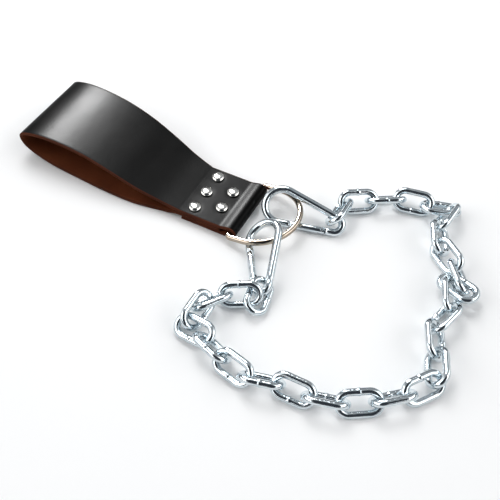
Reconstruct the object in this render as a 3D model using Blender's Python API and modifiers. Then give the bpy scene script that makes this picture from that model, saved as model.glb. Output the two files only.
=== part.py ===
import math

import bmesh
import bpy
import numpy as np
from mathutils import Matrix, Vector

# Sizes are in metres and angles in degrees
# +X runs along the strap to its ring, +Z is up and the floor is at zero height

# Strap, cut as one length of leather and closed into a loop
STRAP_THICKNESS = 0.003
LAYER_GAP = 0.0003
NECK_WIDTH = 0.058
LOOP_WIDTH = 0.081
LOOP_REACH = 0.184
LOOP_HEIGHT = 0.036
TAIL_LENGTH = 0.045
STRAP_END_MARGIN = 0.008
NECK_BLEND = 0.010
STEP_BLEND = 0.016

# Rivets, a row of three and a row of two nearer the ring
RIVET_SPACING = 0.0195
RIVET_ROW_SPACING = 0.020
RIVET_CAP_RADIUS = 0.0052
RIVET_CAP_HEIGHT = 0.0027
RIVET_SHANK_RADIUS = 0.0016
RIVET_FOOT_RADIUS = 0.0040
RIVET_FOOT_THICKNESS = 0.0008
RIVET_FOOT_SINK = 0.0002
RIVET_CLEARANCE = 0.0003
RIVET_STEPS = 12

# Ring held in the fold of the strap
RING_WIRE = 0.005
RING_INNER_WIDTH = 0.060
RING_DEPTH = 0.047
RING_CORNER_RADIUS = 0.0035
RING_TILT = 9.0
FOLD_CLEARANCE = 0.0003

# Snap hooks
HOOK_WIRE = 0.0064
HOOK_LENGTH = 0.0725
HOOK_WIDTH = 0.0345
HOOK_TIP_RADIUS = 0.0065
HOOK_PIVOT_SETBACK = 0.0088
GATE_LENGTH = 0.0267
GATE_DIAMETER = 0.006
GATE_END_GAP = 0.0004
EAR_REACH = 0.0022
EAR_SWING_GAP = 0.0011
TONGUE_THICKNESS = 0.0024
TONGUE_HEIGHT = 0.0046
TONGUE_REACH = 0.0026
NOSE_REACH = 0.0046
NOSE_HEAD_WIDTH = 0.0038
NOSE_HEAD_LENGTH = 0.0015
HINGE_CLEARANCE = 0.0003
SLOT_END_ROOM = 0.0008
PIN_DIAMETER = 0.0022
PIN_HOLE_CLEARANCE = 0.00035

# Where each hook lies: the centre of its wide bend, then its turn on the floor and its tilts
HOOK_LAY = {
    "hook_a": {"place": (0.0536, 0.0142, 0.0112), "heading": 5.5, "pitch": 5.0, "roll": 33.5},
    "hook_b": {"place": (0.0559, -0.0234, 0.0110), "heading": -64.5, "pitch": 5.0, "roll": 33.5},
}

# Chain links
LINK_WIRE = 0.0055
LINK_INNER_LENGTH = 0.0245
LINK_INNER_WIDTH = 0.0102

# Room between the wires of links, as they settle beside and inside each other
LINK_CLEARANCE = 0.00055
LINK_SLACK = 0.00015
SETTLE_ROUNDS = 320

# Roughly where each link lies, from hook a to hook b, before the links settle
# Columns: x, y and lift in link lengths from the tip bend of hook a, then heading, tilt and lean
CHAIN_LAY = [
    (-0.05, 0.60, 0.0, 93, 0, -36),
    (0.30, 1.35, 0.0, 30, 0, 45),
    (1.05, 1.85, 0.0, 34, 0, -45),
    (2.00, 2.20, 0.0, 12, 0, 45),
    (2.85, 2.40, 0.0, 31, 0, -24),
    (3.25, 1.95, 0.0, -103, 0, 55),
    (3.30, 1.05, 0.0, -66, 0, -45),
    (3.75, 0.45, 0.0, -38, 0, 45),
    (4.40, -0.25, 0.0, -51, 0, -50),
    (4.50, -0.70, 0.25, 160, 0, 8),
    (4.35, -1.05, 0.0, -74, 0, -50),
    (4.55, -1.95, 0.0, -110, 0, 45),
    (4.50, -2.80, 0.0, -64, 0, -45),
    (4.90, -3.65, 0.0, -66, 0, 45),
    (4.85, -4.45, 0.0, -129, 0, -45),
    (4.15, -5.25, 0.0, -141, 0, 45),
    (3.40, -5.80, 0.0, -147, 0, -45),
    (2.50, -6.25, 0.0, -163, 0, 45),
    (1.50, -6.25, 0.0, -178, 0, -45),
    (0.55, -6.45, 0.0, -164, 0, 45),
    (-0.30, -6.45, 0.0, 168, 0, -45),
    (-1.20, -6.15, 0.0, 165, 0, 45),
    (-1.95, -5.80, 0.0, 178, 0, -35),
    (-2.20, -5.20, 0.0, 88, -12, 45),
    (-2.00, -4.70, 0.0, 56, 0, -45),
    (-1.35, -4.05, 0.0, 30, 0, 45),
    (-0.90, -3.85, 0.0, 99, -6, 17),
]
# Where the tip bend of hook b lies from that of hook a, in the same link lengths
CHAIN_SPAN = (-0.95, -3.4)

# How the loop lies, from the neck over the top, round its closed end and back along the floor
# Columns: reach as a share of LOOP_REACH, height of LOOP_HEIGHT, width from neck to loop, sway of LOOP_WIDTH
LOOP_SECTIONS = [
    (0.22, 0.29, 0.22, 0.035),
    (0.34, 0.42, 0.52, 0.070),
    (0.48, 0.60, 0.72, 0.110),
    (0.62, 0.74, 0.82, 0.140),
    (0.76, 0.82, 0.90, 0.150),
    (0.88, 0.81, 0.97, 0.155),
    (0.97, 0.69, 1.00, 0.160),
    (0.99, 0.51, 1.00, 0.165),
    (0.965, 0.30, 1.00, 0.165),
    (0.89, 0.14, 1.00, 0.155),
    (0.78, 0.062, 0.95, 0.130),
    (0.64, 0.045, 0.83, 0.090),
    (0.48, 0.044, 0.65, 0.040),
    (0.34, 0.044, 0.43, 0.010),
]

# Heights and places that follow from the sizes
TAIL_HEIGHT = STRAP_THICKNESS / 2
INNER_END_HEIGHT = TAIL_HEIGHT + STRAP_THICKNESS + LAYER_GAP
TOP_HEIGHT = INNER_END_HEIGHT + STRAP_THICKNESS + LAYER_GAP
NECK_TOP = TOP_HEIGHT + STRAP_THICKNESS / 2
FOLD_RADIUS = RING_WIRE / 2 + FOLD_CLEARANCE + STRAP_THICKNESS / 2
FOLD_HEIGHT = TAIL_HEIGHT + FOLD_RADIUS
ROW_OF_THREE_X = -RIVET_ROW_SPACING / 2
ROW_OF_TWO_X = RIVET_ROW_SPACING / 2
TAIL_END_X = ROW_OF_THREE_X - STRAP_END_MARGIN
INNER_END_X = ROW_OF_TWO_X + STRAP_END_MARGIN
FOLD_X = TAIL_END_X + TAIL_LENGTH
RING_HALF_WIDTH = (RING_INNER_WIDTH + RING_WIRE) / 2
HOOK_WIDE_RADIUS = (HOOK_WIDTH - HOOK_WIRE) / 2
HOOK_CENTRES = HOOK_LENGTH - HOOK_WIRE - HOOK_WIDE_RADIUS - HOOK_TIP_RADIUS
HOOK_TAPER = math.asin((HOOK_WIDE_RADIUS - HOOK_TIP_RADIUS) / HOOK_CENTRES)
LINK_END_RADIUS = (LINK_INNER_WIDTH + LINK_WIRE) / 2
LINK_STRAIGHT = LINK_INNER_LENGTH + LINK_WIRE - 2 * LINK_END_RADIUS


def clear_scene():
    for obj in list(bpy.data.objects):
        bpy.data.objects.remove(obj, do_unlink=True)
    for name in ("dip_belt", "cutters"):
        old = bpy.data.collections.get(name)
        if old:
            bpy.data.collections.remove(old)


def make_collection(name):
    collection = bpy.data.collections.new(name)
    bpy.context.scene.collection.children.link(collection)
    return collection


def make_material(name, colour, roughness, metallic):
    material = bpy.data.materials.new(name)
    material.use_nodes = True
    shader = material.node_tree.nodes["Principled BSDF"]
    shader.inputs["Base Color"].default_value = (*colour, 1.0)
    shader.inputs["Roughness"].default_value = roughness
    shader.inputs["Metallic"].default_value = metallic
    return material


def make_empty(name, collection, location, rotation=None):
    empty = bpy.data.objects.new(name, None)
    collection.objects.link(empty)
    empty.location = location
    if rotation is not None:
        empty.rotation_euler = rotation
    return empty


def make_object(name, mesh, collection, material=None, parent=None, location=(0, 0, 0), rotation=(0, 0, 0)):
    obj = bpy.data.objects.new(name, mesh)
    collection.objects.link(obj)
    obj.location = location
    obj.rotation_euler = rotation
    if parent is not None:
        obj.parent = parent
    if material is not None:
        if mesh.materials:
            mesh.materials[0] = material
        else:
            mesh.materials.append(material)
    return obj


def arc_points(centre, radius, start, end, count):
    steps = [start + (end - start) * i / (count - 1) for i in range(count)]
    return [(centre[0] + radius * math.cos(a), centre[1] + radius * math.sin(a)) for a in steps]


def wire_mesh(name, points, diameter, closed, resolution=1):
    """Sweep a round wire along flat points and weld its end caps."""
    curve = bpy.data.curves.new(name + "_path", "CURVE")
    curve.dimensions = "3D"
    curve.bevel_depth = diameter / 2
    curve.bevel_resolution = resolution
    curve.use_fill_caps = not closed
    spline = curve.splines.new("POLY")
    spline.points.add(len(points) - 1)
    for point, place in zip(spline.points, points):
        point.co = (place[0], place[1], place[2] if len(place) > 2 else 0.0, 1.0)
    spline.use_cyclic_u = closed
    path = bpy.data.objects.new(name + "_path", curve)
    bpy.context.scene.collection.objects.link(path)
    bpy.context.view_layer.update()
    mesh = bpy.data.meshes.new_from_object(path.evaluated_get(bpy.context.evaluated_depsgraph_get()))
    mesh.name = name
    bpy.data.objects.remove(path, do_unlink=True)
    weld(mesh)
    return mesh


def weld(mesh):
    shape = bmesh.new()
    shape.from_mesh(mesh)
    bmesh.ops.remove_doubles(shape, verts=shape.verts, dist=0.000001)
    bmesh.ops.recalc_face_normals(shape, faces=shape.faces)
    shape.to_mesh(mesh)
    shape.free()


def shade_round(mesh):
    mesh.shade_smooth()
    mesh.set_sharp_from_angle(angle=math.radians(50))


def block(name, collection, low, high, parent=None):
    mesh = bpy.data.meshes.new(name)
    shape = bmesh.new()
    bmesh.ops.create_cube(shape, size=1.0)
    size = Vector(high) - Vector(low)
    middle = (Vector(high) + Vector(low)) / 2
    bmesh.ops.scale(shape, vec=size, verts=shape.verts)
    bmesh.ops.translate(shape, vec=middle, verts=shape.verts)
    shape.to_mesh(mesh)
    shape.free()
    return make_object(name, mesh, collection, parent=parent)


def rod(name, collection, radius, low, high, axis, sides, centre=(0.0, 0.0), parent=None):
    """Round bar along a local axis, from low to high, about a centre in the two other axes."""
    mesh = bpy.data.meshes.new(name)
    shape = bmesh.new()
    bmesh.ops.create_cone(shape, cap_ends=True, segments=sides, radius1=radius, radius2=radius, depth=high - low)
    turn = Matrix.Rotation(math.radians(90), 3, "Y") if axis == "X" else Matrix.Identity(3)
    bmesh.ops.rotate(shape, verts=shape.verts, matrix=turn)
    middle = (low + high) / 2
    shift = (middle, centre[0], centre[1]) if axis == "X" else (centre[0], centre[1], middle)
    bmesh.ops.translate(shape, verts=shape.verts, vec=shift)
    shape.to_mesh(mesh)
    shape.free()
    return make_object(name, mesh, collection, parent=parent)


def hide_cutter(obj):
    obj.hide_render = True
    obj.display_type = "WIRE"


def combine(target, tool, operation):
    """Add or cut with a helper solid, then keep only the result's mesh."""
    modifier = target.modifiers.new(operation.lower(), "BOOLEAN")
    modifier.operation = operation
    modifier.solver = "EXACT"
    modifier.object = tool
    bpy.context.view_layer.update()
    result = bpy.data.meshes.new_from_object(target.evaluated_get(bpy.context.evaluated_depsgraph_get()))
    target.modifiers.remove(modifier)
    result.name = target.data.name
    target.data = result
    bpy.data.objects.remove(tool, do_unlink=True)


def smooth_rows(rows, steps):
    """Points on a smooth curve through table rows, with the rows themselves kept."""
    points = []
    last = len(rows) - 1
    for i in range(last):
        before, start, end, after = rows[max(i - 1, 0)], rows[i], rows[i + 1], rows[min(i + 2, last)]
        for k in range(steps):
            t = k / steps
            points.append(tuple(
                0.5 * (2 * b + (c - a) * t + (2 * a - 5 * b + 4 * c - d) * t ** 2
                       + (3 * b - a - 3 * c + d) * t ** 3)
                for a, b, c, d in zip(before, start, end, after)))
    points.append(tuple(rows[-1]))
    return points


def strap_path():
    """Middle of the leather from its tail to its inner end, as x, z, half width and sway."""
    neck = NECK_WIDTH / 2
    loop_gain = (LOOP_WIDTH - NECK_WIDTH) / 2
    path = [(x, TAIL_HEIGHT, neck, 0.0) for x in (TAIL_END_X, 0.0, FOLD_X - FOLD_RADIUS)]
    fold = arc_points((FOLD_X, FOLD_HEIGHT), FOLD_RADIUS, -math.pi / 2, math.pi / 2, 9)
    path += [(x, z, neck, 0.0) for x, z in fold]
    drop = FOLD_HEIGHT + FOLD_RADIUS - TOP_HEIGHT
    for share in (0.25, 0.5, 0.75):
        ease = (1 + math.cos(math.pi * share)) / 2
        path.append((FOLD_X - NECK_BLEND * share, TOP_HEIGHT + drop * ease, neck, 0.0))
    path += [(x, TOP_HEIGHT, neck, 0.0) for x in (FOLD_X - NECK_BLEND, ROW_OF_TWO_X, 0.0, ROW_OF_THREE_X)]
    start = (-0.11 * LOOP_REACH, TOP_HEIGHT, neck, 0.0)
    loop = [(-reach * LOOP_REACH, height * LOOP_HEIGHT, neck + widen * loop_gain, sway * LOOP_WIDTH)
            for reach, height, widen, sway in LOOP_SECTIONS]
    end = (TAIL_END_X - 2 * LAYER_GAP - STEP_BLEND, TAIL_HEIGHT, neck, 0.0)
    path += smooth_rows([start] + loop + [end], 4)
    rise = INNER_END_HEIGHT - TAIL_HEIGHT
    for share in (0.25, 0.5, 0.75, 1.0):
        ease = (1 - math.cos(math.pi * share)) / 2
        path.append((end[0] + STEP_BLEND * share * 0.8, TAIL_HEIGHT + rise * ease, neck, 0.0))
    path += [(x, INNER_END_HEIGHT, neck, 0.0) for x in (ROW_OF_THREE_X, 0.0, INNER_END_X)]
    return path


def build_strap(collection, cutters, material, rivet_places):
    across = 6
    shape = bmesh.new()
    rows = []
    for x, z, half, sway in strap_path():
        rows.append([shape.verts.new((x, sway + half * (2 * k / across - 1), z)) for k in range(across + 1)])
    for near, far in zip(rows, rows[1:]):
        for k in range(across):
            shape.faces.new((near[k], near[k + 1], far[k + 1], far[k]))
    mesh = bpy.data.meshes.new("strap")
    bmesh.ops.recalc_face_normals(shape, faces=shape.faces)
    shape.to_mesh(mesh)
    shape.free()
    strap = make_object("strap", mesh, collection, material)
    wall = strap.modifiers.new("thickness", "SOLIDIFY")
    wall.thickness = STRAP_THICKNESS
    wall.offset = 0.0
    wall.use_even_offset = True
    hole = RIVET_SHANK_RADIUS + RIVET_CLEARANCE
    seat = RIVET_FOOT_RADIUS + RIVET_CLEARANCE
    seat_top = RIVET_FOOT_SINK + RIVET_FOOT_THICKNESS + RIVET_CLEARANCE
    profile = [(0.0, NECK_TOP * 1.5), (hole, NECK_TOP * 1.5), (hole, seat_top), (seat, seat_top),
               (seat, -seat_top), (0.0, -seat_top)]
    for i, (x, y) in enumerate(rivet_places):
        cutter = turned("rivet_cutter_%d" % (i + 1), cutters, profile, RIVET_STEPS)
        cutter.location = (x, y, 0.0)
        hide_cutter(cutter)
        cut = strap.modifiers.new("rivet_%d" % (i + 1), "BOOLEAN")
        cut.operation = "DIFFERENCE"
        cut.solver = "EXACT"
        cut.object = cutter
    return strap


def turned(name, collection, profile, steps, material=None):
    """Profile of radius and height, turned about the vertical axis."""
    mesh = bpy.data.meshes.new(name)
    shape = bmesh.new()
    verts = [shape.verts.new((radius, 0.0, height)) for radius, height in profile]
    for a, b in zip(verts, verts[1:]):
        shape.edges.new((a, b))
    shape.to_mesh(mesh)
    shape.free()
    obj = make_object(name, mesh, collection, material)
    turn = obj.modifiers.new("turn", "SCREW")
    turn.axis = "Z"
    turn.angle = 2 * math.pi
    turn.steps = steps
    turn.render_steps = steps
    turn.use_merge_vertices = True
    turn.merge_threshold = 0.000001
    turn.use_smooth_shade = True
    return obj


def rivet_places():
    row_of_three = [(ROW_OF_THREE_X, RIVET_SPACING * k) for k in (1, 0, -1)]
    row_of_two = [(ROW_OF_TWO_X, RIVET_SPACING * k) for k in (0.5, -0.5)]
    return row_of_three + row_of_two


def build_rivets(collection, material, places):
    base = NECK_TOP + LAYER_GAP
    dome = []
    for i in range(5):
        a = math.radians(90 - i * 18)
        dome.append((RIVET_CAP_RADIUS * math.cos(a), base + RIVET_CAP_HEIGHT * (0.12 + 0.88 * math.sin(a))))
    dome[0] = (0.0, dome[0][1])
    foot_top = RIVET_FOOT_SINK + RIVET_FOOT_THICKNESS
    profile = dome + [(RIVET_CAP_RADIUS, base), (RIVET_SHANK_RADIUS, base), (RIVET_SHANK_RADIUS, foot_top),
                      (RIVET_FOOT_RADIUS, foot_top), (RIVET_FOOT_RADIUS, RIVET_FOOT_SINK), (0.0, RIVET_FOOT_SINK)]
    for i, (x, y) in enumerate(places):
        rivet = turned("rivet_%d" % (i + 1), collection, profile, RIVET_STEPS, material)
        rivet.location = (x, y, 0.0)


def build_ring(collection, material):
    half, corner = RING_HALF_WIDTH, RING_CORNER_RADIUS
    arm = RING_DEPTH - half
    points = arc_points((corner, half - corner), corner, math.pi, math.pi / 2, 4)
    points += arc_points((arm, 0.0), half, math.pi / 2, -math.pi / 2, 25)
    points += arc_points((corner, corner - half), corner, -math.pi / 2, -math.pi, 4)
    mesh = wire_mesh("ring", points, RING_WIRE, closed=True, resolution=2)
    shade_round(mesh)
    make_object("ring", mesh, collection, material, location=(FOLD_X, 0.0, FOLD_HEIGHT),
                rotation=(0.0, math.radians(-RING_TILT), 0.0))


def gate_point(along, side=0.0):
    """A place on the gate's line, measured from where the tip bend ends, in the hook's own plane."""
    start = Vector((HOOK_CENTRES + HOOK_TIP_RADIUS * math.sin(HOOK_TAPER),
                    -HOOK_TIP_RADIUS * math.cos(HOOK_TAPER), 0.0))
    back = Vector((-math.cos(HOOK_TAPER), -math.sin(HOOK_TAPER), 0.0))
    inward = Vector((-math.sin(HOOK_TAPER), math.cos(HOOK_TAPER), 0.0))
    return start + back * along + inward * side


def hook_wire_points():
    """Middle of the hook's wire from its nose, round both bends, to its pivot end."""
    nose = HOOK_PIVOT_SETBACK + GATE_LENGTH + GATE_END_GAP
    flank = math.pi / 2 - HOOK_TAPER
    points = [tuple(gate_point(nose))[:2]]
    points += arc_points((0.0, 0.0), HOOK_WIDE_RADIUS, 2 * math.pi - flank, flank, 15)
    points += arc_points((HOOK_CENTRES, 0.0), HOOK_TIP_RADIUS, flank, -flank, 9)
    points.append(tuple(gate_point(HOOK_PIVOT_SETBACK - EAR_REACH - EAR_SWING_GAP))[:2])
    return points


def build_hook_meshes(collection, cutters):
    """The hook's body in its own plane, and its gate about the gate's pivot."""
    line_turn = (0.0, 0.0, HOOK_TAPER)
    body = make_object("hook_body", wire_mesh("hook_body", hook_wire_points(), HOOK_WIRE, False, 2), collection)
    bury = HOOK_WIRE / 2
    flat = TONGUE_THICKNESS / 2
    tall = TONGUE_HEIGHT / 2
    # Along the gate's line, +x runs from the nose to the pivot
    tongue = block("tongue", cutters, (-TONGUE_REACH, -tall, -flat),
                   (EAR_REACH + EAR_SWING_GAP + bury, tall, flat))
    tongue.location = gate_point(HOOK_PIVOT_SETBACK)
    tongue.rotation_euler = line_turn
    combine(body, tongue, "UNION")
    hole = rod("pin_hole", cutters, PIN_DIAMETER / 2 + PIN_HOLE_CLEARANCE, -HOOK_WIRE, HOOK_WIRE, "Z", 12)
    hole.location = gate_point(HOOK_PIVOT_SETBACK)
    combine(body, hole, "DIFFERENCE")
    nose_at = gate_point(HOOK_PIVOT_SETBACK + GATE_LENGTH + GATE_END_GAP)
    nose = block("nose", cutters, (-bury, -tall, -flat), (NOSE_REACH, tall, flat))
    nose.location = nose_at
    nose.rotation_euler = line_turn
    combine(body, nose, "UNION")
    head_half = NOSE_HEAD_WIDTH / 2
    head = block("nose_head", cutters, (NOSE_REACH - NOSE_HEAD_LENGTH, -tall * 0.96, -head_half),
                 (NOSE_REACH * 1.001, tall * 0.96, head_half))
    head.location = nose_at
    head.rotation_euler = line_turn
    combine(body, head, "UNION")

    gate = make_object("hook_gate", rod("gate_bar", cutters, GATE_DIAMETER / 2, -GATE_LENGTH, EAR_REACH,
                                        "X", 12).data, collection)
    bpy.data.objects.remove(bpy.data.objects["gate_bar"], do_unlink=True)
    through = GATE_DIAMETER
    slot = TONGUE_THICKNESS / 2 + HINGE_CLEARANCE
    ears = block("ear_slot", cutters, (-TONGUE_REACH - SLOT_END_ROOM, -through, -slot), (through, through, slot))
    combine(gate, ears, "DIFFERENCE")
    nose_from = -GATE_LENGTH - GATE_END_GAP + NOSE_REACH
    mouth = block("nose_slot", cutters, (-GATE_LENGTH - through, -through, -slot),
                  (nose_from + HINGE_CLEARANCE, through, slot))
    combine(gate, mouth, "DIFFERENCE")
    pocket_half = NOSE_HEAD_WIDTH / 2 + HINGE_CLEARANCE
    pocket = block("nose_pocket", cutters,
                   (nose_from - NOSE_HEAD_LENGTH - HINGE_CLEARANCE, -through, -pocket_half),
                   (nose_from + HINGE_CLEARANCE, through, pocket_half))
    combine(gate, pocket, "DIFFERENCE")
    reach = GATE_DIAMETER / 2 + HINGE_CLEARANCE
    pin = rod("pin", cutters, PIN_DIAMETER / 2, -reach, reach, "Z", 12)
    combine(gate, pin, "UNION")
    for obj in (body, gate):
        weld(obj.data)
        shade_round(obj.data)
    meshes = body.data, gate.data
    bpy.data.objects.remove(body, do_unlink=True)
    bpy.data.objects.remove(gate, do_unlink=True)
    return meshes


def lay_rotation(heading, pitch, roll):
    turn = Matrix.Rotation(math.radians(heading), 3, "Z")
    tip = Matrix.Rotation(math.radians(pitch), 3, "Y")
    lean = Matrix.Rotation(math.radians(roll), 3, "X")
    return (turn @ tip @ lean).to_euler()


def build_hooks(collection, cutters, material):
    body_mesh, gate_mesh = build_hook_meshes(collection, cutters)
    for name, lay in HOOK_LAY.items():
        frame = make_empty(name, collection, lay["place"], lay_rotation(lay["heading"], lay["pitch"], lay["roll"]))
        make_object(name + "_body", body_mesh, collection, material, frame)
        make_object(name + "_gate", gate_mesh, collection, material, frame,
                    gate_point(HOOK_PIVOT_SETBACK), (0.0, 0.0, HOOK_TAPER))


def link_line():
    """Middle line of a link's wire in the link's own plane."""
    half = LINK_STRAIGHT / 2
    points = arc_points((half, 0.0), LINK_END_RADIUS, -math.pi / 2, math.pi / 2, 7)
    points += arc_points((-half, 0.0), LINK_END_RADIUS, math.pi / 2, 3 * math.pi / 2, 7)
    return points


def link_mesh():
    mesh = wire_mesh("link", link_line(), LINK_WIRE, closed=True)
    shade_round(mesh)
    return mesh


def fine_line(points, step=LINK_WIRE / 3):
    """A closed line as places no further apart than a step."""
    fine = []
    for here, there in zip(points, points[1:] + points[:1]):
        pieces = math.ceil(math.dist(here, there) / step)
        for k in range(pieces):
            x, y = (h + (t - h) * k / pieces for h, t in zip(here, there))
            fine.append((x, y, 0.0))
    return np.array(fine)


def placed(line, place, turn):
    return (line[:, None, :] * turn[None, :, :]).sum(axis=2) + place


def hook_line(name):
    """Middle line of a hook as it lies, closed along its gate."""
    lay = HOOK_LAY[name]
    turn = np.array(lay_rotation(lay["heading"], lay["pitch"], lay["roll"]).to_matrix())
    return placed(fine_line(hook_wire_points()), np.array(lay["place"]), turn)


def hook_tip(name):
    lay = HOOK_LAY[name]
    turn = lay_rotation(lay["heading"], lay["pitch"], lay["roll"]).to_matrix()
    return Vector(lay["place"]) + turn @ Vector((HOOK_CENTRES, 0.0, 0.0))


def first_lay():
    """Rough centre and turn of each link, with any change of the hooks shared out along the chain."""
    start, end = hook_tip("hook_a"), hook_tip("hook_b")
    spare = Vector((end.x - start.x - CHAIN_SPAN[0] * LINK_INNER_LENGTH,
                    end.y - start.y - CHAIN_SPAN[1] * LINK_INNER_LENGTH, 0.0))
    places, turns = [], []
    for i, (x, y, lift, heading, tilt, lean) in enumerate(CHAIN_LAY):
        slope = abs(math.sin(math.radians(tilt)))
        bank = abs(math.sin(math.radians(lean))) * math.cos(math.radians(tilt))
        rest = LINK_WIRE / 2 + LINK_STRAIGHT / 2 * slope + LINK_END_RADIUS * math.hypot(slope, bank)
        place = Vector((start.x + x * LINK_INNER_LENGTH, start.y + y * LINK_INNER_LENGTH,
                        rest + lift * LINK_INNER_LENGTH))
        places.append(np.array(place + spare * i / (len(CHAIN_LAY) - 1)))
        turns.append(np.array(lay_rotation(heading, tilt, lean).to_matrix()))
    return places, turns


def small_turn(spin):
    """Turn about a short vector by as many radians as it is long."""
    angle = math.sqrt((spin ** 2).sum())
    if angle < 1e-12:
        return np.eye(3)
    x, y, z = spin / angle
    cross = np.array([[0.0, -z, y], [z, 0.0, -x], [-y, x, 0.0]])
    return np.eye(3) + math.sin(angle) * cross + (1 - math.cos(angle)) * (cross @ cross)


def push(places, turns, link, point, shift):
    """Shift one place on a link, which moves and turns the link as a stiff piece."""
    spin = np.cross(point - places[link], shift) / (LINK_INNER_LENGTH / 2) ** 2
    size = (shift ** 2).sum()
    if size == 0:
        return
    ease = 1 / (1 + (spin ** 2).sum() * (LINK_INNER_LENGTH / 2) ** 2 / size)
    places[link] = places[link] + shift * ease
    turns[link] = small_turn(spin * ease) @ turns[link]


def closest(line, other):
    spans = line[:, None, :] - other[None, :, :]
    square = (spans ** 2).sum(axis=2)
    a, b = divmod(int(square.argmin()), len(other))
    gap = math.sqrt(square[a, b])
    return gap, line[a], other[b], spans[a, b] / gap


def settle_links():
    """Move the links off each other, the hooks and the floor, each as near its first place as it can stay."""
    places, turns = first_lay()
    first_places, first_turns = list(places), list(turns)
    line = fine_line(link_line())
    hooks = [hook_line("hook_a"), hook_line("hook_b")]
    count = len(places)
    pairs = [(i, j) for i in range(count) for j in range(i + 1, count)
             if math.dist(places[i], places[j]) < 1.5 * LINK_INNER_LENGTH]
    ends = [(i, hook, link == i) for hook, link in enumerate((0, count - 1))
            for i in range(count) if abs(i - link) < 3]
    for step in range(SETTLE_ROUNDS):
        hold = 0.02 if step < SETTLE_ROUNDS * 0.7 else 0.0
        lines = [placed(line, place, turn) for place, turn in zip(places, turns)]
        for i in range(count):
            places[i] = places[i] + (first_places[i] - places[i]) * hold * np.array((1.0, 1.0, 0.5))
            off = first_turns[i] @ turns[i].T
            spin = np.array((off[2, 1] - off[1, 2], off[0, 2] - off[2, 0], off[1, 0] - off[0, 1])) / 2
            turns[i] = small_turn(spin * hold) @ turns[i]
            places[i][2] -= hold * LINK_WIRE / 6
            low = int(lines[i][:, 2].argmin())
            sunk = LINK_WIRE / 2 - lines[i][low, 2]
            if sunk > 0:
                push(places, turns, i, lines[i][low], np.array((0.0, 0.0, sunk * 0.8)))
        for i, j in pairs:
            gap, at, other, way = closest(lines[i], lines[j])
            room = gap - LINK_WIRE - LINK_CLEARANCE
            if room < 0 or (j == i + 1 and room > LINK_SLACK):
                shift = way * (-0.4 * room if room < 0 else -0.1 * (room - LINK_SLACK))
                push(places, turns, i, at, shift)
                push(places, turns, j, other, -shift)
        for i, hook, held in ends:
            gap, at, other, way = closest(lines[i], hooks[hook])
            room = gap - (LINK_WIRE + HOOK_WIRE) / 2 - LINK_CLEARANCE
            if room < 0 or (held and room > LINK_SLACK):
                push(places, turns, i, at, way * (-0.8 * room if room < 0 else -0.2 * (room - LINK_SLACK)))
    for i in range(count):
        low = placed(line, places[i], turns[i])[:, 2].min()
        places[i][2] += max(0.0, LINK_WIRE / 2 - low)
    return places, turns


def build_chain(collection, material):
    mesh = link_mesh()
    for i, (place, turn) in enumerate(zip(*settle_links())):
        make_object("link_%02d" % (i + 1), mesh, collection, material, location=place,
                    rotation=Matrix(turn.tolist()).to_euler())


def main():
    clear_scene()
    parts = make_collection("dip_belt")
    cutters = make_collection("cutters")
    leather = make_material("black_leather", (0.012, 0.011, 0.011), 0.42, 0.0)
    nickel = make_material("nickel_plate", (0.72, 0.68, 0.60), 0.16, 1.0)
    zinc = make_material("bright_zinc", (0.74, 0.77, 0.80), 0.22, 1.0)
    places = rivet_places()
    build_strap(parts, cutters, leather, places)
    build_rivets(parts, nickel, places)
    build_ring(parts, nickel)
    build_hooks(parts, cutters, zinc)
    build_chain(parts, zinc)


main()
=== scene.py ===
import math

import bmesh
import bpy
import numpy as np
from mathutils import Matrix, Vector


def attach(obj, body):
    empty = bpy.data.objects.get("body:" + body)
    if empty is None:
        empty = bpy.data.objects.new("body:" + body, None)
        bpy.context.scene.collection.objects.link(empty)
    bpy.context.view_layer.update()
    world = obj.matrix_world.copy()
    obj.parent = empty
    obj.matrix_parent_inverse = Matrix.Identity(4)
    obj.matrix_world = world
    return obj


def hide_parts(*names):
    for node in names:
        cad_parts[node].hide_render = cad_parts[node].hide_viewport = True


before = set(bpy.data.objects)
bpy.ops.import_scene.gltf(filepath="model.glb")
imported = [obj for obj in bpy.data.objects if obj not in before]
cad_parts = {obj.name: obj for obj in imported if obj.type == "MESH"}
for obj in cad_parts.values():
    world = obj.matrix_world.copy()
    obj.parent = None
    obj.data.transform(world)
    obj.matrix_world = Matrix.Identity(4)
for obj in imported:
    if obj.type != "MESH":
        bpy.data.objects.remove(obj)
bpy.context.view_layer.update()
print("frame loaded")

scene = bpy.context.scene

# Sizes are in metres and angles in degrees, in the CAD model's own frame

cameraSetup = {
    "place": (0.2425, -0.3974, 0.4933),
    "target": (0.0481, -0.0319, 0.0),
    "lens": 57.6,      # on a 36 mm wide sensor
}


def makeCamera(setup):
    data = bpy.data.cameras.new("photoCamera")
    data.lens = setup["lens"]
    data.sensor_width = 36.0
    data.clip_start = 0.01
    camera = bpy.data.objects.new("photoCamera", data)
    scene.collection.objects.link(camera)
    camera.location = setup["place"]
    aim = Vector(setup["target"]) - Vector(setup["place"])
    camera.rotation_euler = aim.to_track_quat("-Z", "Y").to_euler()
    scene.camera = camera


makeCamera(cameraSetup)
print("camera placed")


# helpers for meshes

def addMesh(name, verts, faces, smooth=True):
    mesh = bpy.data.meshes.new(name)
    mesh.from_pydata([tuple(v) for v in verts], [], faces)
    mesh.validate()
    if smooth:
        mesh.shade_smooth()
    return mesh


def addPiece(name, mesh, material, body, node=None):
    piece = bpy.data.objects.new(name, mesh)
    scene.collection.objects.link(piece)
    if material is not None:
        mesh.materials.clear()
        mesh.materials.append(material)
    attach(piece, body)
    if node:
        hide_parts(node)
    return piece


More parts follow.
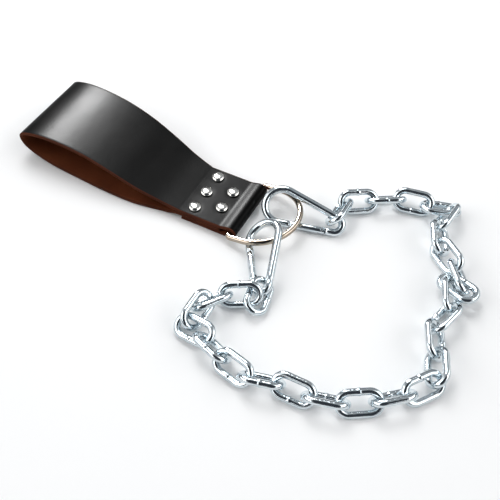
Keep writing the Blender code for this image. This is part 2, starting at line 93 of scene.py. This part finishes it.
# Sweep a ring of points along a flat closed or open path, with a radius at each step
def sweepWire(name, path, radii, sides, closed, flatten=None):
    count = len(path)
    verts, faces = [], []
    for i, point in enumerate(path):
        before = path[(i - 1) % count] if closed else path[max(i - 1, 0)]
        after = path[(i + 1) % count] if closed else path[min(i + 1, count - 1)]
        along = (Vector(after) - Vector(before)).normalized()
        side = Vector((0.0, 0.0, 1.0)).cross(along).normalized()
        for k in range(sides):
            a = 2 * math.pi * k / sides
            inPlane, outOfPlane = math.cos(a), math.sin(a)
            if flatten is not None:
                outOfPlane *= flatten[i]
            verts.append(Vector(point) + (side * inPlane + Vector((0, 0, 1)) * outOfPlane) * radii[i])
    spans = count if closed else count - 1
    for i in range(spans):
        for k in range(sides):
            a, b = i * sides + k, i * sides + (k + 1) % sides
            c, d = ((i + 1) % count) * sides + (k + 1) % sides, ((i + 1) % count) * sides + k
            faces.append((a, b, c, d))
    if not closed:
        faces.append(tuple(reversed(range(sides))))
        faces.append(tuple(range((count - 1) * sides, count * sides)))
    mesh = addMesh(name, verts, faces)
    shape = bmesh.new()
    shape.from_mesh(mesh)
    bmesh.ops.recalc_face_normals(shape, faces=shape.faces)
    shape.to_mesh(mesh)
    shape.free()
    return mesh


def arcPoints(centre, radius, start, end, count):
    return [(centre[0] + radius * math.cos(start + (end - start) * i / (count - 1)),
             centre[1] + radius * math.sin(start + (end - start) * i / (count - 1)), 0.0) for i in range(count)]


# node helpers and shared groups

def newMaterial(name, roughness, metallic):
    material = bpy.data.materials.new(name)
    material.use_nodes = True
    shader = material.node_tree.nodes["Principled BSDF"]
    shader.inputs["Roughness"].default_value = roughness
    shader.inputs["Metallic"].default_value = metallic
    return material, material.node_tree, shader


def addNode(tree, kind, values=None, **settings):
    node = tree.nodes.new(kind)
    for key, value in settings.items():
        setattr(node, key, value)
    for key, value in (values or {}).items():
        node.inputs[key].default_value = value
    return node


def ramp(tree, source, stops):
    node = tree.nodes.new("ShaderNodeValToRGB")
    node.color_ramp.elements[0].position, node.color_ramp.elements[0].color = stops[0]
    node.color_ramp.elements[1].position, node.color_ramp.elements[1].color = stops[-1]
    for position, colour in stops[1:-1]:
        node.color_ramp.elements.new(position).color = colour
    tree.links.new(source, node.inputs["Fac"])
    return node.outputs["Color"]


def bumpChain(tree, shader, layers):
    normal = None
    for height, strength, distance in layers:
        bump = addNode(tree, "ShaderNodeBump", {"Strength": strength, "Distance": distance})
        tree.links.new(height, bump.inputs["Height"])
        if normal is not None:
            tree.links.new(normal, bump.inputs["Normal"])
        normal = bump.outputs["Normal"]
    tree.links.new(normal, shader.inputs["Normal"])


# Fine mottling that plated metal and leather share: slow colour drift and small specks
def makeWearGroup():
    tree = bpy.data.node_groups.new("surfaceDrift", "ShaderNodeTree")
    tree.interface.new_socket("Patch Scale", in_out="INPUT", socket_type="NodeSocketFloat")
    tree.interface.new_socket("Speck Scale", in_out="INPUT", socket_type="NodeSocketFloat")
    tree.interface.new_socket("Patches", in_out="OUTPUT", socket_type="NodeSocketFloat")
    tree.interface.new_socket("Specks", in_out="OUTPUT", socket_type="NodeSocketFloat")
    entry = tree.nodes.new("NodeGroupInput")
    leave = tree.nodes.new("NodeGroupOutput")
    place = tree.nodes.new("ShaderNodeTexCoord")
    patches = addNode(tree, "ShaderNodeTexNoise", {"Detail": 4.0, "Roughness": 0.55})
    specks = addNode(tree, "ShaderNodeTexNoise", {"Detail": 2.0, "Roughness": 0.7})
    tree.links.new(place.outputs["Object"], patches.inputs["Vector"])
    tree.links.new(place.outputs["Object"], specks.inputs["Vector"])
    tree.links.new(entry.outputs["Patch Scale"], patches.inputs["Scale"])
    tree.links.new(entry.outputs["Speck Scale"], specks.inputs["Scale"])
    tree.links.new(patches.outputs["Fac"], leave.inputs["Patches"])
    tree.links.new(specks.outputs["Fac"], leave.inputs["Specks"])
    return tree


driftGroup = makeWearGroup()


def addDrift(tree, patchScale, speckScale):
    node = tree.nodes.new("ShaderNodeGroup")
    node.node_tree = driftGroup
    node.inputs["Patch Scale"].default_value = patchScale
    node.inputs["Speck Scale"].default_value = speckScale
    return node


# plated metal

def makePlated(name, light, dark, roughLow, roughHigh, patchScale, speckScale, waviness):
    material, tree, shader = newMaterial(name, roughLow, 1.0)
    drift = addDrift(tree, patchScale, speckScale)
    tree.links.new(ramp(tree, drift.outputs["Patches"], [(0.35, dark), (0.65, light)]), shader.inputs["Base Color"])
    rough = addNode(tree, "ShaderNodeMapRange", {"From Min": 0.35, "From Max": 0.75, "To Min": roughLow,
                                                 "To Max": roughHigh})
    tree.links.new(drift.outputs["Specks"], rough.inputs["Value"])
    tree.links.new(rough.outputs["Result"], shader.inputs["Roughness"])
    bumpChain(tree, shader, [(drift.outputs["Patches"], waviness, 0.0008), (drift.outputs["Specks"], 0.06, 0.0001)])
    return material


zincPlate = makePlated("zincPlate", (0.72, 0.77, 0.80, 1), (0.58, 0.65, 0.69, 1), 0.05, 0.13, 120.0, 900.0, 0.35)
nickelRing = makePlated("nickelRing", (0.46, 0.40, 0.33, 1), (0.34, 0.28, 0.22, 1), 0.06, 0.14, 60.0, 900.0, 0.10)
nickelCap = makePlated("nickelCap", (0.86, 0.85, 0.82, 1), (0.76, 0.74, 0.70, 1), 0.07, 0.16, 180.0, 1200.0, 0.15)
print("metals made")


# leather

def makeGrainLeather():
    material, tree, shader = newMaterial("blackGrain", 0.38, 0.0)
    place = tree.nodes.new("ShaderNodeTexCoord")
    drift = addDrift(tree, 22.0, 700.0)
    pebble = addNode(tree, "ShaderNodeTexVoronoi", {"Scale": 1100.0, "Randomness": 0.95})
    crease = addNode(tree, "ShaderNodeTexNoise", {"Scale": 160.0, "Detail": 5.0, "Roughness": 0.6})
    tree.links.new(place.outputs["Object"], pebble.inputs["Vector"])
    tree.links.new(place.outputs["Object"], crease.inputs["Vector"])
    tree.links.new(ramp(tree, drift.outputs["Patches"], [(0.3, (0.0009, 0.0009, 0.0009, 1)),
                                                         (0.7, (0.0020, 0.0020, 0.0020, 1))]),
                   shader.inputs["Base Color"])
    rough = addNode(tree, "ShaderNodeMapRange", {"From Min": 0.3, "From Max": 0.7, "To Min": 0.27, "To Max": 0.35})
    tree.links.new(drift.outputs["Patches"], rough.inputs["Value"])
    tree.links.new(rough.outputs["Result"], shader.inputs["Roughness"])
    bumpChain(tree, shader, [(crease.outputs["Fac"], 0.10, 0.0006), (pebble.outputs["Distance"], 0.25, 0.00015)])
    shader.inputs["Specular IOR Level"].default_value = 0.045
    return material


def makeFleshLeather(name, light, dark):
    material, tree, shader = newMaterial(name, 0.85, 0.0)
    shader.inputs["Specular IOR Level"].default_value = 0.05
    place = tree.nodes.new("ShaderNodeTexCoord")
    drift = addDrift(tree, 30.0, 500.0)
    nap = addNode(tree, "ShaderNodeTexNoise", {"Scale": 900.0, "Detail": 6.0, "Roughness": 0.75})
    tree.links.new(place.outputs["Object"], nap.inputs["Vector"])
    tree.links.new(ramp(tree, drift.outputs["Patches"], [(0.3, dark), (0.7, light)]), shader.inputs["Base Color"])
    bumpChain(tree, shader, [(nap.outputs["Fac"], 0.5, 0.0003)])
    return material


blackGrain = makeGrainLeather()
brownFlesh = makeFleshLeather("brownFlesh", (0.150, 0.043, 0.017, 1), (0.090, 0.023, 0.009, 1))
cutEdge = makeFleshLeather("cutEdge", (0.085, 0.026, 0.013, 1), (0.045, 0.014, 0.008, 1))
print("leathers made")

strapSize = {
    "thickness": 0.003,
    "layerGap": 0.0003,
    "neckWidth": 0.058,
    "loopWidth": 0.081,
    "loopReach": 0.184,
    "loopHeight": 0.036,
    "tailEnd": -0.018,
    "innerEnd": 0.018,
    "foldX": 0.027,
    "foldRadius": 0.0043,
    "neckBlend": 0.010,
    "stepBlend": 0.016,
    "rowOfThree": -0.010,
    "rowOfTwo": 0.010,
    "rivetSpacing": 0.0195,
    "edgeRound": 0.0011,
    "dimpleDepth": 0.00035,
    "dimpleReach": 0.0085,
}

# Reach, height, width from neck to loop and sway, as shares, from the neck round the loop's closed end
loopSections = [
    (0.22, 0.29, 0.22, 0.035),
    (0.34, 0.42, 0.52, 0.070),
    (0.48, 0.60, 0.72, 0.110),
    (0.62, 0.74, 0.82, 0.140),
    (0.76, 0.82, 0.90, 0.150),
    (0.88, 0.81, 0.97, 0.155),
    (0.97, 0.69, 1.00, 0.160),
    (0.99, 0.51, 1.00, 0.165),
    (0.965, 0.30, 1.00, 0.165),
    (0.89, 0.14, 1.00, 0.155),
    (0.78, 0.062, 0.95, 0.130),
    (0.64, 0.045, 0.83, 0.090),
    (0.48, 0.044, 0.65, 0.040),
    (0.34, 0.044, 0.43, 0.010),
]


def smoothRows(rows, steps):
    points, last = [], len(rows) - 1
    for i in range(last):
        a, b, c, d = rows[max(i - 1, 0)], rows[i], rows[i + 1], rows[min(i + 2, last)]
        for k in range(steps):
            t = k / steps
            points.append(tuple(0.5 * (2 * q + (r - p) * t + (2 * p - 5 * q + 4 * r - s) * t ** 2
                                       + (3 * q - p - 3 * r + s) * t ** 3) for p, q, r, s in zip(a, b, c, d)))
    points.append(tuple(rows[-1]))
    return points


def strapPath(size):
    neck = size["neckWidth"] / 2
    gain = size["loopWidth"] / 2 - neck
    low = size["thickness"] / 2
    inner = low + size["thickness"] + size["layerGap"]
    top = inner + size["thickness"] + size["layerGap"]
    foldZ = low + size["foldRadius"]
    path = [(x, low, neck, 0.0) for x in np.linspace(size["tailEnd"], size["foldX"] - 0.002, 30)]
    path += [(x, z, neck, 0.0) for x, z, _ in
             arcPoints((size["foldX"], foldZ), size["foldRadius"], -math.pi / 2, math.pi / 2, 33)]
    drop = foldZ + size["foldRadius"] - top
    for share in np.linspace(0, 1, 13)[1:-1]:
        path.append((size["foldX"] - size["neckBlend"] * share, top + drop * (1 + math.cos(math.pi * share)) / 2,
                     neck, 0.0))
    path += [(x, top, neck, 0.0) for x in np.linspace(size["foldX"] - size["neckBlend"], size["rowOfThree"], 28)]
    start = (-0.11 * size["loopReach"], top, neck, 0.0)
    loop = [(-reach * size["loopReach"], height * size["loopHeight"], neck + widen * gain, sway * size["loopWidth"])
            for reach, height, widen, sway in loopSections]
    end = (size["tailEnd"] - 2 * size["layerGap"] - size["stepBlend"], low, neck, 0.0)
    path += smoothRows([start] + loop + [end], 12)
    for share in np.linspace(0, 1, 12)[1:]:
        path.append((end[0] + size["stepBlend"] * share * 0.8, low + (inner - low) * (1 - math.cos(math.pi * share)) / 2,
                     neck, 0.0))
    path += [(x, inner, neck, 0.0) for x in np.linspace(size["rowOfThree"], size["innerEnd"], 16)]
    return path


def rivetPlaces(size):
    three = [(size["rowOfThree"], size["rivetSpacing"] * k) for k in (1, 0, -1)]
    two = [(size["rowOfTwo"], size["rivetSpacing"] * k) for k in (0.5, -0.5)]
    return three + two


# The leather's section: grain face across, a rounded cut edge, flesh face back, the other cut edge
def makeStrap(size):
    path = strapPath(size)
    half = size["thickness"] / 2
    round_ = size["edgeRound"]
    acrossCount, edgeCount = 44, 8
    verts, faces, marks = [], [], []
    count = len(path)
    for i, (x, z, wide, sway) in enumerate(path):
        bx, bz = path[max(i - 1, 0)][:2]
        ax, az = path[min(i + 1, count - 1)][:2]
        tx, tz = ax - bx, az - bz
        length = math.hypot(tx, tz)
        outward = Vector((tz / length, 0.0, -tx / length))
        middle = Vector((x, sway, z))
        section = []
        for k in range(acrossCount + 1):
            section.append((-(wide - round_) + 2 * (wide - round_) * k / acrossCount, half, 0))
        for k in range(1, edgeCount):
            a = math.pi / 2 - math.pi * k / edgeCount
            flat = half - round_ * 0.55
            section.append((wide - round_ + round_ * math.cos(a), flat * math.sin(a) + round_ * 0.55 * math.sin(a), 1))
        for k in range(acrossCount + 1):
            section.append(((wide - round_) - 2 * (wide - round_) * k / acrossCount, -half, 2))
        for k in range(1, edgeCount):
            a = -math.pi / 2 - math.pi * k / edgeCount
            flat = half - round_ * 0.55
            section.append((-(wide - round_) + round_ * math.cos(a), flat * math.sin(a) + round_ * 0.55 * math.sin(a), 1))
        for across, depth, mark in section:
            verts.append(middle + Vector((0, 1, 0)) * across + outward * depth)
            marks.append(mark)
    ring = len(verts) // count
    for i in range(count - 1):
        for k in range(ring):
            a, b = i * ring + k, i * ring + (k + 1) % ring
            faces.append((a, b, b + ring, a + ring))
    faces.append(tuple(range(ring)))
    faces.append(tuple(range((count - 1) * ring, count * ring)))
    # the caps press the top layer in a little
    top = 3 * size["thickness"] + 2 * size["layerGap"]
    for i, v in enumerate(verts):
        if marks[i] == 0 and abs(v.z - top) < 0.0002:
            for rx, ry in rivetPlaces(size):
                r = math.hypot(v.x - rx, v.y - ry) / size["dimpleReach"]
                if r < 1:
                    v.z -= size["dimpleDepth"] * (1 + math.cos(math.pi * r)) / 2
    mesh = addMesh("strapLeather", verts, faces)
    for material in (blackGrain, cutEdge, brownFlesh):
        mesh.materials.append(material)
    shape = bmesh.new()
    shape.from_mesh(mesh)
    shape.verts.ensure_lookup_table()
    for face in shape.faces:
        kinds = {marks[v.index] for v in face.verts}
        face.material_index = 1 if len(kinds) > 1 or 1 in kinds else (0 if 0 in kinds else 2)
    bmesh.ops.recalc_face_normals(shape, faces=shape.faces)
    shape.to_mesh(mesh)
    shape.free()
    piece = bpy.data.objects.new("strapLeather", mesh)
    scene.collection.objects.link(piece)
    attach(piece, "belt")
    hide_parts("strap")


makeStrap(strapSize)
print("strap made")

rivetSize = {"radius": 0.0052, "height": 0.0027, "base": 0.0096, "rim": 0.0004, "sides": 48}


def makeRivets(size):
    profile = [(0.0, 1.0)]
    for k in range(1, 13):
        a = math.pi / 2 * (1 - k / 12)
        profile.append((size["radius"] * math.cos(a), 0.16 + 0.84 * math.sin(a)))
    profile += [(size["radius"], 0.08), (size["radius"] * 0.96, 0.0), (0.0015, 0.0)]
    verts, faces = [Vector((0, 0, size["base"] + size["height"]))], []
    sides = size["sides"]
    for radius, height in profile[1:]:
        for k in range(sides):
            a = 2 * math.pi * k / sides
            verts.append(Vector((radius * math.cos(a), radius * math.sin(a), size["base"] + size["height"] * height)))
    for k in range(sides):
        faces.append((0, 1 + k, 1 + (k + 1) % sides))
    for i in range(len(profile) - 2):
        for k in range(sides):
            a, b = 1 + i * sides + k, 1 + i * sides + (k + 1) % sides
            faces.append((a, a + sides, b + sides, b))
    faces.append(tuple(range(len(verts) - sides, len(verts))))
    for i, (x, y) in enumerate(rivetPlaces(strapSize)):
        mesh = addMesh("rivetCap%d" % (i + 1), verts, faces)
        mesh.transform(Matrix.Translation((x, y, 0.0)))
        addPiece("rivetCap%d" % (i + 1), mesh, nickelCap, "belt", "rivet_%d" % (i + 1))


makeRivets(rivetSize)
print("rivets made")

ringSize = {"wire": 0.005, "halfWidth": 0.0325, "depth": 0.047, "corner": 0.0035, "tilt": 9.0,
            "place": (0.027, 0.0, 0.0058)}


def makeRing(size):
    half, corner = size["halfWidth"], size["corner"]
    arm = size["depth"] - half
    path = arcPoints((corner, half - corner), corner, math.pi, math.pi / 2, 9)
    path += arcPoints((arm, 0.0), half, math.pi / 2, -math.pi / 2, 73)
    path += arcPoints((corner, corner - half), corner, -math.pi / 2, -math.pi, 9)
    path += [(0.0, corner - half + (2 * half - 2 * corner) * k / 12, 0.0) for k in range(1, 12)]
    mesh = sweepWire("ringWire", path, [size["wire"] / 2] * len(path), 20, True)
    turn = Matrix.Rotation(math.radians(-size["tilt"]), 4, "Y")
    mesh.transform(Matrix.Translation(size["place"]) @ turn)
    addPiece("ringWire", mesh, nickelRing, "belt", "ring")


makeRing(ringSize)
print("ring made")

linkSize = {"wire": 0.0055, "innerLength": 0.0245, "innerWidth": 0.0102, "bead": 0.00035, "beadReach": 0.0014}


# One link lying flat: its weld bead is halfway along the side at -Y
def linkMesh(size):
    radius = (size["innerWidth"] + size["wire"]) / 2
    straight = (size["innerLength"] + size["wire"]) / 2 - radius
    path = [(-straight + 2 * straight * k / 24, -radius, 0.0) for k in range(24)]
    path += arcPoints((straight, 0.0), radius, -math.pi / 2, math.pi / 2, 29)[:-1]
    path += [(straight - 2 * straight * k / 12, radius, 0.0) for k in range(12)]
    path += arcPoints((-straight, 0.0), radius, math.pi / 2, 3 * math.pi / 2, 29)[:-1]
    radii = []
    for x, y, _ in path:
        bead = 0.0
        if y < -radius + 0.0001:
            reach = abs(x) / size["beadReach"]
            bead = size["bead"] * math.exp(-reach * reach * 2.5)
        radii.append(size["wire"] / 2 + bead)
    return sweepWire("linkWire", path, radii, 18, True)


# A link's place is read from its CAD solid: the longest way is its length, the shortest its thickness
def cadPose(node):
    points = np.array([v.co[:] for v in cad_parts[node].data.vertices])
    points = np.unique(np.round(points, 6), axis=0)
    middle = points.mean(axis=0)
    values, axes = np.linalg.eigh(np.cov((points - middle).T))
    along, across = Vector(axes[:, 2]), Vector(axes[:, 1])
    if across.z < 0:
        across = -across
    normal = along.cross(across)
    spread = (points - middle) @ np.array([along, across, normal]).T
    shift = (spread.max(axis=0) + spread.min(axis=0)) / 2
    centre = Vector(middle) + along * shift[0] + across * shift[1] + normal * shift[2]
    turn = Matrix((along, across, normal)).transposed().to_4x4()
    return Matrix.Translation(centre) @ turn


# Links whose weld shows on the raised side; on the others it is on the low side
weldOnTop = {3, 2, 17, 20, 22, 26, 15}


def makeChain(size):
    base = linkMesh(size)
    for number in range(1, 28):
        node = "link_%02d" % number
        mesh = base.copy()
        turn = cadPose(node)
        if number in weldOnTop:
            turn = turn @ Matrix.Rotation(math.pi, 4, "Z")
        mesh.transform(turn)
        addPiece("chainLink%02d" % number, mesh, zincPlate, "belt", node)


makeChain(linkSize)
print("chain made")

hookSize = {
    "wire": 0.0064,
    "length": 0.0725,
    "width": 0.0345,
    "tipRadius": 0.0065,
    "pivotSetback": 0.0088,
    "gateLength": 0.0267,
    "gateWidth": 0.006,
    "gateEndGap": 0.0004,
    "earReach": 0.0022,
    "earSwingGap": 0.0011,
    "tongueThickness": 0.0024,
    "tongueHeight": 0.0046,
    "tongueReach": 0.0026,
    "noseReach": 0.0046,
    "headWidth": 0.0038,
    "headLength": 0.0015,
    "clearance": 0.0003,
    "slotEndRoom": 0.0008,
    "pinWidth": 0.0022,
    "pinRoom": 0.00035,
    "pinchDepth": 0.12,      # share of the wire that the press takes near the narrow bend
    "endRound": 0.0005,
}

hookLays = {
    "hook_a": {"place": (0.0536, 0.0142, 0.0112), "heading": 5.5, "pitch": 5.0, "roll": 33.5},
    "hook_b": {"place": (0.0559, -0.0234, 0.0110), "heading": -64.5, "pitch": 5.0, "roll": 33.5},
}


def barMesh(name, stations, sides):
    verts, faces = [], []
    for x, radius in stations:
        verts += [(x, radius * math.cos(2 * math.pi * k / sides), radius * math.sin(2 * math.pi * k / sides))
                  for k in range(sides)]
    for i in range(len(stations) - 1):
        for k in range(sides):
            a, b = i * sides + k, i * sides + (k + 1) % sides
            faces.append((a, b, b + sides, a + sides))
    faces.append(tuple(reversed(range(sides))))
    faces.append(tuple(range(len(verts) - sides, len(verts))))
    return addMesh(name, verts, faces)


def blockMesh(name, low, high, bevel=0.0):
    verts = [(x, y, z) for x in (low[0], high[0]) for y in (low[1], high[1]) for z in (low[2], high[2])]
    faces = [(0, 1, 3, 2), (4, 6, 7, 5), (0, 4, 5, 1), (2, 3, 7, 6), (0, 2, 6, 4), (1, 5, 7, 3)]
    mesh = addMesh(name, verts, faces)
    if bevel:
        shape = bmesh.new()
        shape.from_mesh(mesh)
        bmesh.ops.bevel(shape, geom=shape.edges[:], offset=bevel, segments=3, profile=0.5, affect="EDGES")
        shape.to_mesh(mesh)
        shape.free()
    return mesh


def carve(mesh, tool, operation, place):
    body = bpy.data.objects.new("carvedBody", mesh)
    cutter = bpy.data.objects.new("carvingTool", tool)
    scene.collection.objects.link(body)
    scene.collection.objects.link(cutter)
    cutter.matrix_world = place
    cut = body.modifiers.new("cut", "BOOLEAN")
    cut.operation = operation
    cut.solver = "EXACT"
    cut.object = cutter
    bpy.context.view_layer.update()
    result = bpy.data.meshes.new_from_object(body.evaluated_get(bpy.context.evaluated_depsgraph_get()))
    bpy.data.objects.remove(body, do_unlink=True)
    bpy.data.objects.remove(cutter, do_unlink=True)
    return result


def hookShape(size):
    wide = (size["width"] - size["wire"]) / 2
    centres = size["length"] - size["wire"] - wide - size["tipRadius"]
    taper = math.asin((wide - size["tipRadius"]) / centres)
    return wide, centres, taper


# A place on the gate's line, from where the narrow bend ends back towards the wide bend
def gatePlace(size, along):
    wide, centres, taper = hookShape(size)
    return Vector((centres + size["tipRadius"] * math.sin(taper) - math.cos(taper) * along,
                   -size["tipRadius"] * math.cos(taper) - math.sin(taper) * along, 0.0))


def hookPath(size):
    wide, centres, taper = hookShape(size)
    flank = math.pi / 2 - taper
    nose = gatePlace(size, size["pivotSetback"] + size["gateLength"] + size["gateEndGap"])
    stub = gatePlace(size, size["pivotSetback"] - size["earReach"] - size["earSwingGap"])
    wideBend = [Vector(p) for p in arcPoints((0.0, 0.0), wide, 2 * math.pi - flank, flank, 73)]
    tipBend = [Vector(p) for p in arcPoints((centres, 0.0), size["tipRadius"], flank, -flank, 41)]
    path = [nose.lerp(wideBend[0], t) for t in (0.0, 0.04, 0.10, 0.5)] + wideBend
    spine = [k / 40 for k in range(1, 40)]
    path += [wideBend[-1].lerp(tipBend[0], t) for t in spine] + tipBend
    path += [tipBend[-1].lerp(stub, t) for t in (0.5, 0.90, 0.96, 1.0)]
    radii = [size["wire"] / 2] * len(path)
    for k, t in enumerate(spine):
        radii[4 + 73 + k] *= 1 - size["pinchDepth"] * math.exp(-((t - 0.93) / 0.03) ** 2)
    for index, ease in ((0, 1.0), (1, 0.35), (-1, 1.0), (-2, 0.35)):
        radii[index] -= size["endRound"] * ease
    return path, radii


def hookBodyMesh(size):
    path, radii = hookPath(size)
    mesh = sweepWire("hookBody", path, radii, 28, False)
    taper = hookShape(size)[2]
    turn = Matrix.Rotation(taper, 4, "Z")
    pivot = Matrix.Translation(gatePlace(size, size["pivotSetback"])) @ turn
    nose = Matrix.Translation(gatePlace(size, size["pivotSetback"] + size["gateLength"] + size["gateEndGap"])) @ turn
    bury, flat, tall = size["wire"] / 2, size["tongueThickness"] / 2, size["tongueHeight"] / 2
    tongue = blockMesh("hookTongue", (-size["tongueReach"], -tall, -flat),
                       (size["earReach"] + size["earSwingGap"] + bury, tall, flat), 0.0003)
    mesh = carve(mesh, tongue, "UNION", pivot)
    hole = barMesh("pinHole", [(-size["wire"], size["pinWidth"] / 2 + size["pinRoom"]),
                               (size["wire"], size["pinWidth"] / 2 + size["pinRoom"])], 24)
    mesh = carve(mesh, hole, "DIFFERENCE", pivot @ Matrix.Rotation(math.pi / 2, 4, "Y"))
    tang = blockMesh("noseTang", (-bury, -tall, -flat), (size["noseReach"], tall, flat), 0.0002)
    mesh = carve(mesh, tang, "UNION", nose)
    half = size["headWidth"] / 2
    head = blockMesh("noseHead", (size["noseReach"] - size["headLength"], -tall * 0.96, -half),
                     (size["noseReach"] * 1.001, tall * 0.96, half), 0.00025)
    return carve(mesh, head, "UNION", nose)


# The gate lies along X with its pivot at the origin and its nose end at -X
def gateMesh(size):
    radius, length, ease = size["gateWidth"] / 2, size["gateLength"], size["endRound"]
    mesh = barMesh("hookGate", [(-length, radius - ease), (-length + ease * 0.3, radius - ease * 0.3),
                                (-length + ease, radius), (-length * 0.66, radius), (-length * 0.33, radius),
                                (size["earReach"] - ease, radius), (size["earReach"] - ease * 0.3, radius - ease * 0.3),
                                (size["earReach"], radius - ease)], 32)
    through, still = size["gateWidth"], Matrix.Identity(4)
    slot = size["tongueThickness"] / 2 + size["clearance"]
    ears = blockMesh("earSlot", (-size["tongueReach"] - size["slotEndRoom"], -through, -slot), (through, through, slot))
    mesh = carve(mesh, ears, "DIFFERENCE", still)
    inner = -length - size["gateEndGap"] + size["noseReach"]
    mouth = blockMesh("noseSlot", (-length - through, -through, -slot), (inner + size["clearance"], through, slot))
    mesh = carve(mesh, mouth, "DIFFERENCE", still)
    half = size["headWidth"] / 2 + size["clearance"]
    pocket = blockMesh("nosePocket", (inner - size["headLength"] - size["clearance"], -through, -half),
                       (inner + size["clearance"], through, half))
    mesh = carve(mesh, pocket, "DIFFERENCE", still)
    reach = radius + size["clearance"]
    pin = barMesh("gatePin", [(-reach, size["pinWidth"] * 0.4), (-reach + 0.0003, size["pinWidth"] / 2),
                              (reach - 0.0003, size["pinWidth"] / 2), (reach, size["pinWidth"] * 0.4)], 24)
    return carve(mesh, pin, "UNION", Matrix.Rotation(math.pi / 2, 4, "Y"))


def makeHooks(size):
    bodyShape, gateShape = hookBodyMesh(size), gateMesh(size)
    pivot = Matrix.Translation(gatePlace(size, size["pivotSetback"])) @ Matrix.Rotation(hookShape(size)[2], 4, "Z")
    for name, lay in hookLays.items():
        place = (Matrix.Translation(lay["place"]) @ Matrix.Rotation(math.radians(lay["heading"]), 4, "Z")
                 @ Matrix.Rotation(math.radians(lay["pitch"]), 4, "Y")
                 @ Matrix.Rotation(math.radians(lay["roll"]), 4, "X"))
        for shape, turn, suffix, label, body in ((bodyShape, place, "_body", "Body", "belt"),
                                                 (gateShape, place @ pivot, "_gate", "Gate", "gate_" + name[-1])):
            mesh = shape.copy()
            mesh.transform(turn)
            mesh.shade_smooth()
            mesh.set_sharp_from_angle(angle=math.radians(38))
            addPiece("snapHook" + name[-1].upper() + label, mesh, zincPlate, body, name + suffix)


makeHooks(hookSize)
print("hooks made")


# floor and light

studio = {
    "floorLight": (0.96, 0.96, 0.96, 1),
    "floorDark": (0.94, 0.94, 0.94, 1),
    "openSky": (1.0, 1.0, 1.0, 1),
    "darkSky": (0.015, 0.017, 0.02, 1),
    "skyStrength": 2.8,
    "darkSide": (0.302, -0.568, 0.766),     # the unlit side of the room
    "dimSky": (0.13, 0.135, 0.14, 1),
    "dimSide": (-0.302, 0.568, 0.766),
    "keyPlace": (-0.52, 0.60, 1.30),
    "keyPower": 9.0,
    "keySize": 0.9,
    "sheenPlace": (-0.80, 0.74, 0.84),      # seen in the leather and the metal, and casts no light on the floor
    "sheenPower": 44.0,
    "sheenSize": 0.34,
}


def makeFloor():
    mesh = addMesh("studioFloor", [(-4, -4, 0), (4, -4, 0), (4, 4, 0), (-4, 4, 0)], [(0, 1, 2, 3)], smooth=False)
    material, tree, shader = newMaterial("studioPaper", 0.75, 0.0)
    shader.inputs["Specular IOR Level"].default_value = 0.1
    drift = addDrift(tree, 2.0, 60.0)
    tree.links.new(ramp(tree, drift.outputs["Patches"], [(0.2, studio["floorDark"]), (0.8, studio["floorLight"])]),
                   shader.inputs["Base Color"])
    mesh.materials.append(material)
    floor = bpy.data.objects.new("studioFloor", mesh)
    scene.collection.objects.link(floor)
    floor.location.z = -0.0002


def makeLight(name, place, power, size, lightsFloor=True):
    data = bpy.data.lights.new(name, "AREA")
    data.energy = power
    data.size = size
    data.shape = "DISK"
    light = bpy.data.objects.new(name, data)
    scene.collection.objects.link(light)
    light.location = place
    light.visible_diffuse = lightsFloor
    light.rotation_euler = (Vector((0.03, -0.02, 0)) - Vector(place)).to_track_quat("-Z", "Y").to_euler()


def mixedColour(node):
    return [socket for socket in node.outputs if socket.type == "RGBA"][0]


# White all round, with a dark strip low down and a dark patch on one side for the metal to show
def makeSky():
    world = bpy.data.worlds.new("studioSky")
    scene.world = world
    world.use_nodes = True
    tree = world.node_tree
    back = tree.nodes["Background"]
    place = tree.nodes.new("ShaderNodeTexCoord")
    split = tree.nodes.new("ShaderNodeSeparateXYZ")
    tree.links.new(place.outputs["Generated"], split.inputs["Vector"])
    strip = ramp(tree, split.outputs["Z"], [(0.0, studio["darkSky"]), (0.20, studio["darkSky"]),
                                            (0.34, studio["openSky"]), (1.0, studio["openSky"])])
    side = addNode(tree, "ShaderNodeVectorMath", operation="DOT_PRODUCT")
    tree.links.new(place.outputs["Generated"], side.inputs[0])
    side.inputs[1].default_value = studio["darkSide"]
    patch = ramp(tree, side.outputs["Value"], [(0.0, studio["openSky"]), (0.74, studio["openSky"]),
                                               (0.82, studio["darkSky"]), (1.0, studio["darkSky"])])
    both = addNode(tree, "ShaderNodeMix", data_type="RGBA", blend_type="MULTIPLY")
    both.inputs["Factor"].default_value = 1.0
    behind = addNode(tree, "ShaderNodeVectorMath", operation="DOT_PRODUCT")
    tree.links.new(place.outputs["Generated"], behind.inputs[0])
    behind.inputs[1].default_value = studio["dimSide"]
    dim = ramp(tree, behind.outputs["Value"], [(0.0, studio["openSky"]), (0.52, studio["openSky"]),
                                               (0.74, studio["dimSky"]), (1.0, studio["dimSky"])])
    all3 = addNode(tree, "ShaderNodeMix", data_type="RGBA", blend_type="MULTIPLY")
    all3.inputs["Factor"].default_value = 1.0
    for node, first, second in ((both, strip, patch), (all3, None, dim)):
        colours = [socket for socket in node.inputs if socket.type == "RGBA"]
        tree.links.new(first or mixedColour(both), colours[0])
        tree.links.new(second, colours[1])
    tree.links.new(mixedColour(all3), back.inputs["Color"])
    back.inputs["Strength"].default_value = studio["skyStrength"]


makeFloor()
makeLight("keyLight", studio["keyPlace"], studio["keyPower"], studio["keySize"])
makeLight("sheenLight", studio["sheenPlace"], studio["sheenPower"], studio["sheenSize"], lightsFloor=False)
makeSky()
scene.view_settings.view_transform = "Standard"
print("studio made")
